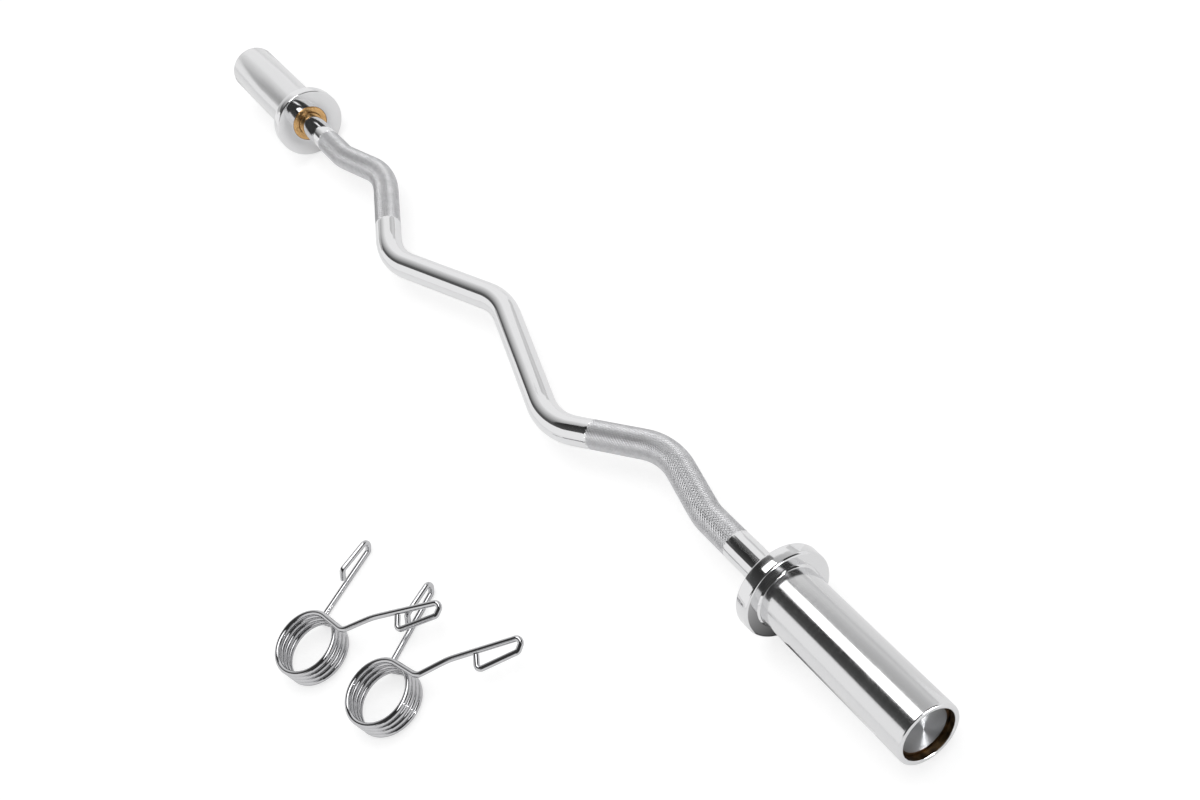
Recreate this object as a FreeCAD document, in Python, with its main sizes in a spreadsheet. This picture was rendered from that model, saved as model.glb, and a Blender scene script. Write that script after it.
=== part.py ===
import FreeCAD, Part
import Sketcher
import math
import os
import re

# A curl bar: one zigzag steel shaft with a turning sleeve on each end, and the pair of
# wire spring collars that lock the plates, lying on the floor beside it.
# X runs along the sleeves, Y is the way the shaft zigzags, Z is up and the floor is Z zero.

doc = FreeCAD.newDocument("curl_bar")
sheet = doc.addObject("Spreadsheet::Sheet", "Sizes")

# Driving dimensions: lengths in millimetres, angles in degrees, turns as a count, shares of a length.
SIZES = [
    # the whole bar, and the sleeve that the plates slide on to
    ("overall_length", 1194),
    ("sleeve_load_length", 153),
    ("sleeve_diameter", 50),
    ("sleeve_bore", 42),
    ("sleeve_edge_chamfer", 1.5),
    ("sleeve_mouth_chamfer", 0.8),
    ("spigot_diameter", 45),
    ("spigot_length", 7.5),
    ("land_length", 30),
    # the flange that stops the plates
    ("flange_diameter", 73),
    ("flange_thickness", 13),
    ("flange_outer_round", 2.5),
    ("flange_inner_round", 1.4),
    ("seat_diameter", 48.8),
    ("lip_width", 2.4),
    ("lip_height", 1.6),
    # the bent shaft: places of its bends, as shares of the way from the middle to the flange,
    # and their offsets from the sleeve axis
    ("shaft_diameter", 25),
    ("bend_radius", 70),
    ("outer_bend_share", 0.789),
    ("crest_share", 0.617),
    ("valley_share", 0.364),
    ("crest_offset", 16),
    ("valley_offset", 39),
    ("middle_offset", 7),
    ("shaft_tip_chamfer", 1.5),
    ("shaft_tip_gap", 3),
    # bronze bushes
    ("inner_bush_diameter", 32),
    ("inner_bush_length", 40),
    ("bush_flange_diameter", 38),
    ("bush_flange_thickness", 3),
    ("bush_proud", 0.6),
    ("bush_chamfer", 1),
    ("outer_bush_length", 28),
    # thrust washers and snap rings that hold the sleeve along the shaft
    ("washer_diameter", 36),
    ("washer_thickness", 2),
    ("snap_ring_thickness", 1.2),
    ("snap_ring_width", 3),
    ("snap_ring_gap_angle", 30),
    ("snap_groove_depth", 0.6),
    ("snap_groove_edge", 3.5),
    # pressed cap in the sleeve's mouth
    ("cap_recess", 5.5),
    ("cap_depth", 12),
    ("cap_face_thickness", 3),
    ("cap_wall", 2.5),
    ("cap_chamfer", 0.8),
    ("cap_dish", 0.5),
    # clearances
    ("running_clearance", 0.05),
    ("press_clearance", 0.02),
    ("slip_clearance", 0.1),
    ("axial_play", 0.3),
    # wire collars: the coil and its two bent handles
    ("wire_diameter", 5),
    ("coil_bore", 49.4),
    ("coil_pitch", 5.6),
    ("coil_turns", 4),
    ("wire_bend_radius", 5),
    ("knee_bend_radius", 9),
    ("sway_bend_radius", 60),
    ("loop_bend_radius", 3.6),
    ("upper_exit_angle", 45),
    ("lower_exit_angle", 60),
    ("handle_angle", 53),
    ("upper_reach", 134),
    ("upper_sway", 4),
    ("upper_loop_length", 42),
    ("upper_loop_slant", 8),
    ("upper_leg_slant", 2.4),
    ("upper_loop_out", 12),
    ("upper_tip_out", 8.5),
    ("upper_loop_drop", 4.5),
    ("lower_run", 18.4),
    ("lower_reach", 72),
    ("lower_loop_length", 37),
    ("lower_loop_slant", 8),
    ("lower_leg_slant", 10),
    ("lower_tip_rise", 8.5),
    ("lower_loop_rise", 12.6),
    ("wire_end_gap", 0.3),
    # where the two collars lie, and how each is turned
    ("left_collar_along", 137),
    ("left_collar_aside", 309),
    ("left_collar_turn", 56.5),
    ("right_collar_along", 233),
    ("right_collar_aside", 282),
    ("right_collar_turn", 62),
]
for row, (alias, value) in enumerate(SIZES, start=1):
    sheet.set("A%d" % row, alias)
    sheet.set("B%d" % row, str(value))
    sheet.setAlias("B%d" % row, alias)
doc.recompute()


def size(alias):
    """A driving dimension's number."""
    return float(sheet.get(alias))


def bound(formula):
    """A formula in plain aliases, as an expression on the sheet."""
    return re.sub(r"[a-z]+_[a-z_]+", r"Sizes.\g<0>", formula)


def plane(body, role):
    """One of a body's own origin planes."""
    return next(item for item in body.Origin.OriginFeatures if item.Role == role)


# Stations along the right half of the bar, as formulas: each follows from the one before.
HALF = "overall_length / 2"
FLANGE_OUTER = "(%s - sleeve_load_length)" % HALF
FLANGE_INNER = "(%s - flange_thickness)" % FLANGE_OUTER
CAP_FACE = "(%s - cap_recess)" % HALF
CAP_BACK = "(%s - cap_depth)" % CAP_FACE
SHAFT_TIP = "(%s - shaft_tip_gap)" % CAP_BACK
OUTER_RING_OUT = "(%s - snap_groove_edge)" % SHAFT_TIP
OUTER_RING_IN = "(%s - snap_ring_thickness)" % OUTER_RING_OUT
OUTER_WASHER_IN = "(%s - washer_thickness)" % OUTER_RING_IN
OUTER_BUSH_OUT = "(%s - axial_play)" % OUTER_WASHER_IN
OUTER_BUSH_IN = "(%s - outer_bush_length)" % OUTER_BUSH_OUT
INNER_WASHER_OUT = "(%s - axial_play)" % OUTER_BUSH_IN
INNER_RING_OUT = "(%s - washer_thickness)" % INNER_WASHER_OUT
INNER_RING_IN = "(%s - snap_ring_thickness)" % INNER_RING_OUT

# Radii that one piece shares with the piece it fits.
SHAFT_RADIUS = "shaft_diameter / 2"
GROOVE_RADIUS = "(shaft_diameter / 2 - snap_groove_depth)"
BUSH_BORE_RADIUS = "(shaft_diameter / 2 + running_clearance)"
BUSH_SEAT_RADIUS = "(inner_bush_diameter / 2 + press_clearance)"
SLEEVE_RADIUS = "sleeve_diameter / 2"
SLEEVE_BORE_RADIUS = "sleeve_bore / 2"
PRESSED_RADIUS = "(sleeve_bore / 2 - press_clearance)"
AXIS_HEIGHT = "flange_diameter / 2"


def hold(sketch, kind, item, end, formula, value):
    """Hold a point of a sketch at a distance from the origin that a formula gives."""
    number = sketch.addConstraint(Sketcher.Constraint(kind, -1, 1, item, end, value))
    sketch.setExpression("Constraints[%d]" % number, bound(formula))


def draw_outline(sketch, outline):
    """Add a closed outline whose corners are (along, radius) formulas."""
    first = sketch.GeometryCount
    count = len(outline)
    ring = [2 * math.pi * index / count for index in range(count)]
    rough = size("sleeve_diameter") / 2
    corners = [FreeCAD.Vector(math.cos(turn), math.sin(turn), 0) * rough for turn in ring]
    for start, end in zip(corners, corners[1:] + corners[:1]):
        sketch.addGeometry(Part.LineSegment(start, end))
    for index, (along, radius) in enumerate(outline):
        line = first + index
        after = first + (index + 1) % count
        sketch.addConstraint(Sketcher.Constraint("Coincident", line, 2, after, 1))
        hold(sketch, "DistanceX", line, 1, along, corners[index].x)
        hold(sketch, "DistanceY", line, 1, radius, corners[index].y)


def outline_sketch(body, name, outlines):
    """A sketch in the plane of the sleeve axis that holds one or more closed outlines."""
    sketch = body.newObject("Sketcher::SketchObject", name)
    sketch.AttachmentSupport = (plane(body, "XZ_Plane"), [""])
    sketch.MapMode = "FlatFace"
    for outline in outlines:
        draw_outline(sketch, outline)
    return sketch


def turned_piece(label, side, outline, sweep="360"):
    """A piece turned about the sleeve axis, on the right end or swung round to the left end."""
    body = doc.addObject("PartDesign::Body", label)
    sketch = outline_sketch(body, label + "_outline", [outline])
    turning = body.newObject("PartDesign::Revolution", label + "_turning")
    turning.Profile = sketch
    turning.ReferenceAxis = (sketch, ["H_Axis"])
    turning.setExpression("Angle", bound(sweep))
    body.Placement.Rotation = FreeCAD.Rotation(FreeCAD.Vector(0, 0, 1), 0 if side == "right" else 180)
    body.setExpression("Placement.Base.z", bound(AXIS_HEIGHT))
    return body


def rounded_rim(body, along, radius_alias, round_alias):
    """Round the rim edge that lies at a station and a diameter of a turned piece."""
    doc.recompute()
    tip = body.Tip
    near = size("press_clearance")
    for number, edge in enumerate(tip.Shape.Edges, start=1):
        circle = edge.Curve
        if not isinstance(circle, Part.Circle):
            continue
        if abs(circle.Radius - size(radius_alias) / 2) < near and abs(circle.Center.x - along) < near:
            fillet = body.newObject("PartDesign::Fillet", body.Label + "_" + round_alias)
            fillet.Base = (tip, ["Edge%d" % number])
            fillet.setExpression("Radius", bound(round_alias))
            return


def make_shaft():
    """The zigzag shaft: half of it is swept along its bends, grooved, then mirrored."""
    body = doc.addObject("PartDesign::Body", "shaft")
    body.setExpression("Placement.Base.z", bound(AXIS_HEIGHT))
    path = shaft_path(body)
    section = body.newObject("Sketcher::SketchObject", "shaft_section")
    section.AttachmentSupport = (plane(body, "YZ_Plane"), [""])
    section.MapMode = "FlatFace"
    top = path.Shape.Vertexes[0].Point
    rise = "((middle_offset + valley_offset) / (%s * valley_share))" % FLANGE_INNER
    start = "middle_offset + bend_radius * (1 - sqrt(1 + %s^2))" % rise
    middle = FreeCAD.Vector(top.y, 0, 0)
    section.addGeometry(Part.Circle(middle, FreeCAD.Vector(0, 0, 1), size("shaft_diameter") / 2))
    section.addConstraint(Sketcher.Constraint("PointOnObject", 0, 3, -1))
    hold(section, "DistanceX", 0, 3, start, top.y)
    girth = section.addConstraint(Sketcher.Constraint("Diameter", 0, size("shaft_diameter")))
    section.setExpression("Constraints[%d]" % girth, bound("shaft_diameter"))
    doc.recompute()
    pipe = body.newObject("PartDesign::AdditivePipe", "shaft_sweep")
    pipe.Profile = section
    pipe.Spine = (path, ["Edge%d" % number for number in range(1, len(path.Shape.Edges) + 1)])
    doc.recompute()

    # snap ring grooves, and a chamfer on the tip
    clear_radius = "(shaft_diameter / 2 + slip_clearance)"
    outer = (OUTER_RING_IN + " - running_clearance", OUTER_RING_OUT)
    inner = (INNER_RING_IN, INNER_RING_OUT + " + running_clearance")
    cuts = [
        [(low, GROOVE_RADIUS), (high, GROOVE_RADIUS), (high, clear_radius), (low, clear_radius)]
        for low, high in (outer, inner)
    ]
    tip_start = SHAFT_TIP + " - shaft_tip_chamfer - slip_clearance"
    tip_end = SHAFT_TIP + " + slip_clearance"
    tip_radius = SHAFT_RADIUS + " - shaft_tip_chamfer - slip_clearance"
    cuts.append([(tip_end, tip_radius), (tip_end, clear_radius), (tip_start, clear_radius)])
    grooves = body.newObject("PartDesign::Groove", "shaft_grooves")
    grooves.Profile = outline_sketch(body, "shaft_groove_outlines", cuts)
    grooves.ReferenceAxis = (grooves.Profile[0], ["H_Axis"])
    grooves.Angle = 360
    doc.recompute()
    if grooves.Shape.Volume >= pipe.Shape.Volume:
        raise RuntimeError("the shaft's grooves cut nothing")
    whole = body.newObject("PartDesign::Mirrored", "shaft_mirror")
    whole.Originals = [pipe, grooves]
    whole.MirrorPlane = (plane(body, "YZ_Plane"), [""])
    body.Tip = whole
    return body


def shaft_path(body):
    """The centre line of the shaft's right half: straights joined by tangent bends."""
    sketch = body.newObject("Sketcher::SketchObject", "shaft_path")
    sketch.AttachmentSupport = (plane(body, "XY_Plane"), [""])
    sketch.MapMode = "FlatFace"
    radius = size("bend_radius")
    tip = size("overall_length") / 2 - size("cap_recess") - size("cap_depth") - size("shaft_tip_gap")
    free = size("overall_length") / 2 - size("sleeve_load_length") - size("flange_thickness")
    corners = [
        (-free * size("valley_share"), -size("valley_offset")),
        (0, size("middle_offset")),
        (free * size("valley_share"), -size("valley_offset")),
        (free * size("crest_share"), size("crest_offset")),
        (free * size("outer_bend_share"), 0),
        (tip, 0),
    ]
    corners = [FreeCAD.Vector(along, aside, 0) for along, aside in corners]

    # bends first, then the straights between them, so that a bend's number is its corner's
    bends = []
    for before, corner, after in zip(corners, corners[1:], corners[2:]):
        back = (before - corner).normalize()
        ahead = (after - corner).normalize()
        opening = back.getAngle(ahead) / 2
        centre = corner + (back + ahead).normalize() * (radius / math.sin(opening))
        cut = radius / math.tan(opening)
        bends.append((centre, corner + back * cut, corner + ahead * cut))
    bends[0] = (bends[0][0], bends[0][0] + FreeCAD.Vector(0, radius, 0), bends[0][2])
    inward = []
    for centre, start, end in bends:
        from_angle = math.atan2(start.y - centre.y, start.x - centre.x)
        to_angle = math.atan2(end.y - centre.y, end.x - centre.x)
        clockwise = math.sin(to_angle - from_angle) < 0
        circle = Part.Circle(centre, FreeCAD.Vector(0, 0, 1), radius)
        span = (to_angle, from_angle) if clockwise else (from_angle, to_angle)
        sketch.addGeometry(Part.ArcOfCircle(circle, *span))
        inward.append((2, 1) if clockwise else (1, 2))
    count = len(bends)
    ends = [bend[1] for bend in bends[1:]] + [corners[-1]]
    for bend, end in zip(bends, ends):
        sketch.addGeometry(Part.LineSegment(bend[2], end))
    for index in range(count):
        straight = count + index
        sketch.addConstraint(Sketcher.Constraint("Tangent", index, inward[index][1], straight, 1))
        if index + 1 < count:
            after = inward[index + 1][0]
            sketch.addConstraint(Sketcher.Constraint("Tangent", straight, 2, index + 1, after))
        number = sketch.addConstraint(Sketcher.Constraint("Radius", index, radius))
        sketch.setExpression("Constraints[%d]" % number, bound("bend_radius"))

    # each corner is a construction point on both of its straights, at the sheet's place
    places = [
        ("0", "middle_offset"),
        (FLANGE_INNER + " * valley_share", "-valley_offset"),
        (FLANGE_INNER + " * crest_share", "crest_offset"),
        (FLANGE_INNER + " * outer_bend_share", "0"),
    ]
    for index, (along, aside) in enumerate(places):
        point = sketch.addGeometry(Part.Point(corners[index + 1]), True)
        sketch.addConstraint(Sketcher.Constraint("PointOnObject", point, 1, count + index))
        if index:
            sketch.addConstraint(Sketcher.Constraint("PointOnObject", point, 1, count + index - 1))
        pin_point(sketch, point, 1, along, aside, corners[index + 1])
    sketch.addConstraint(Sketcher.Constraint("PointOnObject", 0, 3, -2))
    sketch.addConstraint(Sketcher.Constraint("PointOnObject", 0, inward[0][0], -2))
    pin_point(sketch, 2 * count - 1, 2, SHAFT_TIP, "0", corners[-1])
    doc.recompute()
    return sketch


def pin_point(sketch, item, end, along, aside, at):
    """Hold a point of a sketch at a place given by formulas, or on an axis where one is zero."""
    for kind, formula, value, axis in (("DistanceX", along, at.x, -2), ("DistanceY", aside, at.y, -1)):
        if formula == "0":
            sketch.addConstraint(Sketcher.Constraint("PointOnObject", item, end, axis))
        else:
            hold(sketch, kind, item, end, formula, value)


def make_sleeve(side):
    """The turning sleeve and all that rides on it or holds it: returns the pieces of one end."""
    spigot_end = "(%s - spigot_length)" % FLANGE_OUTER
    land_end = "(%s + land_length)" % FLANGE_OUTER
    lip_end = "(%s + lip_height)" % FLANGE_OUTER
    tube = turned_piece(side + "_sleeve_tube", side, [
        (spigot_end, BUSH_SEAT_RADIUS),
        (spigot_end, "spigot_diameter / 2"),
        (FLANGE_OUTER, "spigot_diameter / 2"),
        (FLANGE_OUTER, "seat_diameter / 2"),
        (lip_end, "seat_diameter / 2"),
        (lip_end, SLEEVE_RADIUS),
        (HALF + " - sleeve_edge_chamfer", SLEEVE_RADIUS),
        (HALF, SLEEVE_RADIUS + " - sleeve_edge_chamfer"),
        (HALF, SLEEVE_BORE_RADIUS + " + sleeve_mouth_chamfer"),
        (HALF + " - sleeve_mouth_chamfer", SLEEVE_BORE_RADIUS),
        (land_end, SLEEVE_BORE_RADIUS),
        (land_end, BUSH_SEAT_RADIUS),
    ])

    # the flange takes the tube's spigot from outside, its lip fills the tube's turned-down seat,
    # and the bush's head goes in from inside
    head_seat = "(%s + bush_flange_thickness - bush_proud)" % FLANGE_INNER
    head_radius = "(bush_flange_diameter / 2 + press_clearance)"
    socket_end = "(%s - slip_clearance)" % spigot_end
    socket_radius = "(spigot_diameter / 2 + press_clearance)"
    lip_bore = "(seat_diameter / 2 + press_clearance)"
    flange = turned_piece(side + "_flange_ring", side, [
        (FLANGE_INNER, head_radius),
        (FLANGE_INNER, "flange_diameter / 2"),
        (FLANGE_OUTER, "flange_diameter / 2"),
        (FLANGE_OUTER, lip_bore + " + lip_width"),
        (lip_end, lip_bore + " + lip_width / 2"),
        (lip_end, lip_bore),
        (FLANGE_OUTER, lip_bore),
        (FLANGE_OUTER, socket_radius),
        (socket_end, socket_radius),
        (socket_end, BUSH_SEAT_RADIUS),
        (head_seat, BUSH_SEAT_RADIUS),
        (head_seat, head_radius),
    ])
    outer_face = size("overall_length") / 2 - size("sleeve_load_length")
    rounded_rim(flange, outer_face, "flange_diameter", "flange_outer_round")
    rounded_rim(flange, outer_face - size("flange_thickness"), "flange_diameter", "flange_inner_round")

    head_face = "(%s - bush_proud)" % FLANGE_INNER
    head_back = "(%s + bush_flange_thickness)" % head_face
    bush_end = "(%s + inner_bush_length)" % head_face
    inner_bush = turned_piece(side + "_inner_bush", side, [
        (head_face, BUSH_BORE_RADIUS + " + bush_chamfer"),
        (head_face, "bush_flange_diameter / 2 - bush_chamfer"),
        (head_face + " + bush_chamfer", "bush_flange_diameter / 2"),
        (head_back, "bush_flange_diameter / 2"),
        (head_back, "inner_bush_diameter / 2"),
        (bush_end + " - bush_chamfer", "inner_bush_diameter / 2"),
        (bush_end, "inner_bush_diameter / 2 - bush_chamfer"),
        (bush_end, BUSH_BORE_RADIUS),
        (head_face + " + bush_chamfer", BUSH_BORE_RADIUS),
    ])
    outer_bush = turned_piece(side + "_outer_bush", side, [
        (OUTER_BUSH_IN, BUSH_BORE_RADIUS),
        (OUTER_BUSH_IN, PRESSED_RADIUS + " - bush_chamfer"),
        (OUTER_BUSH_IN + " + bush_chamfer", PRESSED_RADIUS),
        (OUTER_BUSH_OUT + " - bush_chamfer", PRESSED_RADIUS),
        (OUTER_BUSH_OUT, PRESSED_RADIUS + " - bush_chamfer"),
        (OUTER_BUSH_OUT, BUSH_BORE_RADIUS),
    ])

    # a drawn cup with a shallow dish turned in its face
    inside = PRESSED_RADIUS + " - cap_wall"
    cap = turned_piece(side + "_end_cap", side, [
        (CAP_BACK, inside),
        (CAP_BACK, PRESSED_RADIUS),
        (CAP_FACE + " - cap_chamfer", PRESSED_RADIUS),
        (CAP_FACE, PRESSED_RADIUS + " - cap_chamfer"),
        (CAP_FACE, inside),
        (CAP_FACE + " - cap_dish", "0"),
        (CAP_FACE + " - cap_face_thickness", "0"),
        (CAP_FACE + " - cap_face_thickness", inside),
    ])

    washer_bore = "(shaft_diameter / 2 + slip_clearance)"
    washers = [
        turned_piece(side + name, side, [
            (low, washer_bore),
            (low, "washer_diameter / 2"),
            (high, "washer_diameter / 2"),
            (high, washer_bore),
        ])
        for name, low, high in (
            ("_inner_washer", INNER_RING_OUT, INNER_WASHER_OUT),
            ("_outer_washer", OUTER_WASHER_IN, OUTER_RING_IN),
        )
    ]
    ring_bore = "(%s + press_clearance)" % GROOVE_RADIUS
    ring_edge = "(%s + snap_ring_width)" % ring_bore
    rings = [
        turned_piece(side + name, side, [
            (low, ring_bore),
            (low, ring_edge),
            (high, ring_edge),
            (high, ring_bore),
        ], "360 - snap_ring_gap_angle")
        for name, low, high in (
            ("_inner_snap_ring", INNER_RING_IN, INNER_RING_OUT),
            ("_outer_snap_ring", OUTER_RING_IN, OUTER_RING_OUT),
        )
    ]
    return [tube, flange, inner_bush, outer_bush, cap] + washers + rings


def arc_edge(start, corner, end):
    """The arc from start to end whose tangents there meet at corner."""
    middle = (start + end) / 2
    half_chord = (end - start).Length / 2
    lean = (corner - start).getAngle(end - start)
    top = middle + (corner - middle).normalize() * (half_chord * math.tan(lean / 2))
    return Part.Arc(start, top, end).toShape()


def biarc_edges(start, start_way, end, end_way):
    """Two arcs that leave start along start_way and come to end along end_way."""
    chord = end - start
    along = chord.dot(start_way + end_way)
    spread = 2 * (1 - start_way.dot(end_way))
    reach = (math.sqrt(along ** 2 + spread * chord.dot(chord)) - along) / spread
    first_corner = start + start_way * reach
    last_corner = end - end_way * reach
    joint = (first_corner + last_corner) / 2
    return [arc_edge(start, first_corner, joint), arc_edge(joint, last_corner, end)]


def bent_edges(points, radii):
    """Straight runs through the points, with each corner rounded to its own radius."""
    edges = []
    here = points[0]
    for before, corner, after, radius in zip(points, points[1:], points[2:], radii):
        back = (before - corner).normalize()
        ahead = (after - corner).normalize()
        cut = radius / math.tan(back.getAngle(ahead) / 2)
        edges.append(Part.LineSegment(here, corner + back * cut).toShape())
        edges.append(arc_edge(corner + back * cut, corner, corner + ahead * cut))
        here = corner + ahead * cut
    edges.append(Part.LineSegment(here, points[-1]).toShape())
    return edges


def wire_solid(edges):
    """A round wire along a chain of edges."""
    spine = Part.Wire(edges)
    start = edges[0].valueAt(edges[0].FirstParameter)
    way = edges[0].tangentAt(edges[0].FirstParameter)
    section = Part.Wire(Part.Circle(start, way, size("wire_diameter") / 2).toShape())
    return spine.makePipeShell([section], True, False)


def least_gap(edges):
    """The least distance of a wire's surface from its own later turns, measured on points."""
    wire = size("wire_diameter")
    points = Part.Wire(edges).discretize(Distance=wire / 2)
    skip = 6
    gap = min(
        here.distanceToPoint(there)
        for index, here in enumerate(points)
        for there in points[index + skip:]
    )
    return gap - wire


def make_collar(side):
    """One spring collar, lying flat: the coil, and the handle on each of its ends."""
    wire = size("wire_diameter")
    pitch = size("coil_pitch")
    gap = size("wire_end_gap")
    coil_radius = (size("coil_bore") + wire) / 2
    upper_exit = math.radians(size("upper_exit_angle"))
    lower_exit = math.radians(size("lower_exit_angle"))
    wound = 2 * math.pi * size("coil_turns") + lower_exit - upper_exit
    climb = math.atan2(pitch, 2 * math.pi * coil_radius)
    foot = wire / 2 + size("lower_run") * math.sin(climb)

    def coil_point(turned):
        angle = lower_exit - turned
        height = foot + pitch * turned / (2 * math.pi)
        return FreeCAD.Vector(coil_radius * math.cos(angle), coil_radius * math.sin(angle), height)

    def coil_way(turned):
        angle = lower_exit - turned
        flat = math.cos(climb)
        return FreeCAD.Vector(flat * math.sin(angle), -flat * math.cos(angle), math.sin(climb))

    # the coil winds clockwise as it rises, and runs straight for one wire at both ends
    quarters = math.ceil(wound / (math.pi / 2))
    stops = [wound * number / quarters for number in range(quarters + 1)]
    coil_start = coil_point(0) - coil_way(0) * wire
    coil_end = coil_point(wound) + coil_way(wound) * wire
    coil = [Part.LineSegment(coil_start, coil_point(0)).toShape()]
    for low, high in zip(stops, stops[1:]):
        coil += biarc_edges(coil_point(low), coil_way(low), coil_point(high), coil_way(high))
    coil.append(Part.LineSegment(coil_point(wound), coil_end).toShape())

    # upper handle: off the coil at a tangent, out from its axis, then a loop that hangs
    knee = coil_point(wound) + coil_way(wound) * (coil_radius * math.tan(upper_exit))
    reach = size("upper_reach")
    sway_share = 0.5
    sway = FreeCAD.Vector(reach * sway_share, size("upper_sway"), knee.z)
    tip = FreeCAD.Vector(reach, 0, knee.z)
    low_rail = knee.z - size("upper_loop_drop")
    loop_start = reach - size("upper_loop_length")
    rail_end = FreeCAD.Vector(loop_start - size("upper_leg_slant"), -size("upper_loop_out"), low_rail)
    meeting = sway + (tip - sway) * ((loop_start - sway.x) / (tip.x - sway.x))
    leg = meeting - rail_end
    upper = bent_edges([
        coil_end,
        knee,
        sway,
        tip,
        FreeCAD.Vector(reach - size("upper_loop_slant"), -size("upper_tip_out"), low_rail),
        rail_end,
        rail_end + leg * (1 - (wire / 2 + gap) / leg.Length),
    ], [size("knee_bend_radius"), size("sway_bend_radius")] + [size("loop_bend_radius")] * 3)

    # lower handle: along the floor to one side of the coil, then a loop that stands up
    turn = math.radians(size("handle_angle"))
    ahead = FreeCAD.Vector(math.cos(turn), math.sin(turn), 0)
    lift = FreeCAD.Vector(0, 0, 1)
    heel = coil_point(0) - coil_way(0) * size("lower_run")
    reach = size("lower_reach")
    meeting = heel + ahead * (reach - size("lower_loop_length"))
    rise = size("lower_loop_rise")
    rail_end = meeting + ahead * size("lower_leg_slant") + lift * rise
    lower = bent_edges([
        coil_start,
        heel,
        heel + ahead * reach,
        heel + ahead * (reach + size("lower_loop_slant")) + lift * size("lower_tip_rise"),
        rail_end,
        rail_end + (meeting - rail_end) * (1 - (wire + gap) / rise),
    ], [size("wire_bend_radius")] + [size("loop_bend_radius")] * 3)

    pieces = []
    for name, edges in (("_coil", coil), ("_upper_arm", upper), ("_lower_arm", lower)):
        piece = doc.addObject("Part::Feature", side + "_collar" + name)
        piece.Shape = wire_solid(edges)
        place = FreeCAD.Vector(size(side + "_collar_along"), -size(side + "_collar_aside"), 0)
        spin = FreeCAD.Rotation(FreeCAD.Vector(0, 0, 1), size(side + "_collar_turn"))
        piece.Placement = FreeCAD.Placement(place, spin)
        length = sum(edge.Length for edge in edges)
        volume_share = piece.Shape.Volume / (math.pi * (wire / 2) ** 2 * length)
        print(piece.Label, "wire %.1f mm, volume share %.4f" % (length, volume_share))
        pieces.append(piece)
    print(side, "coil: least gap between turns %.2f mm" % least_gap(coil))
    return pieces


pieces = [make_shaft()]
for end in ("left", "right"):
    pieces += make_sleeve(end)
for end in ("left", "right"):
    pieces += make_collar(end)
doc.recompute()

for item in doc.Objects:
    if "Invalid" in item.State or "Error" in item.State:
        raise RuntimeError("%s failed: %s" % (item.Label, item.State))
os.makedirs("parts", exist_ok=True)
for piece in pieces:
    if piece.Shape.isNull() or not piece.Shape.isValid() or len(piece.Shape.Solids) != 1:
        raise RuntimeError("%s is not one valid solid" % piece.Label)
    piece.Shape.exportStep("parts/%s.step" % piece.Label)
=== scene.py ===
import bpy
import bmesh
import math
from mathutils import Matrix, Vector


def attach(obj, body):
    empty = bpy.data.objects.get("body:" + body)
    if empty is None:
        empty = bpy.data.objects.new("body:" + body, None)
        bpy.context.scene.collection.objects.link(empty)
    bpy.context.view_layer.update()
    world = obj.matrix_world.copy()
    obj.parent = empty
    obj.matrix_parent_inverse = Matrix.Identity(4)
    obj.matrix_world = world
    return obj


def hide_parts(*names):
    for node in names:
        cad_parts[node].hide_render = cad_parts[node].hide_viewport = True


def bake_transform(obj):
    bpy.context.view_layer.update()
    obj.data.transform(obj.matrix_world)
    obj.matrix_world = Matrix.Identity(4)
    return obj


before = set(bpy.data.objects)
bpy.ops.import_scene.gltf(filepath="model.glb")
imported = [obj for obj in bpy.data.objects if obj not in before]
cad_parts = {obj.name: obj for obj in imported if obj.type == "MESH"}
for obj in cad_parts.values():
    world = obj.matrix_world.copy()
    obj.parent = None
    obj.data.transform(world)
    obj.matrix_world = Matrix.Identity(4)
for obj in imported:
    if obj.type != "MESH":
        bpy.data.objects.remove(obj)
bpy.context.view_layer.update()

# The shaft: one solid steel bar, 25 mm thick, bent cold in a single plane into the zigzag of a curl bar. Its
# grips are rolled with a diamond knurl, drawn a little coarser than a real one so that it shows, and all of
# it is polished and chrome plated. Half of it is drawn out straight, bent on its centre line and mirrored.
MM = 0.001
FLANGE_RADIUS = 36.5
AXIS_HEIGHT = FLANGE_RADIUS * MM
SHAFT_RADIUS = 12.5
BEND_RADIUS = 70
SHAFT_CORNERS = [(0, 7), (156.9, -39), (265.9, 16), (340.1, 0), (576.5, 0)]

# stations along the half bar before it is bent, and the steps that it is drawn in
KNURL_START = 207
KNURL_END = 397
INNER_SNAP = 554.9
OUTER_SNAP = 588.1
SHAFT_TIP = 592.8
BENT_STEP = 2.8
STRAIGHT_STEP = 12
SNAP_WIDTH = 1.3
SNAP_RADIUS = SHAFT_RADIUS - 0.6
TIP_CHAMFER = 1.5

# the knurl: half of a diamond's length, points round the bar, and the grooves between the diamonds
KNURL_STEP = 1.48
KNURL_AROUND = 52
GROOVE_DEPTH = 0.2
GROOVE_HALF_WIDTH = 0.3
GROOVE_SUNK = 0.75 * GROOVE_DEPTH


def put_down():
    """Leave whatever was being worked on, with nothing selected."""
    if bpy.context.object and bpy.context.object.mode != "OBJECT":
        bpy.ops.object.mode_set(mode="OBJECT")
    bpy.ops.object.select_all(action="DESELECT")


def take_up(piece):
    """Select one piece alone and make it active."""
    put_down()
    piece.select_set(True)
    bpy.context.view_layer.objects.active = piece


def start_ring(name, radius, place, turn, count):
    """A ring of vertices to draw a piece out of, open in edit mode with all of it selected."""
    put_down()
    bpy.ops.mesh.primitive_circle_add(vertices=count, radius=radius * MM, location=place, rotation=turn)
    piece = bpy.context.object
    piece.name = name
    piece.data.name = name
    bpy.ops.object.transform_apply(location=True, rotation=True, scale=True)
    bpy.ops.object.mode_set(mode="EDIT")
    bpy.ops.mesh.select_all(action="SELECT")
    return piece


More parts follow.
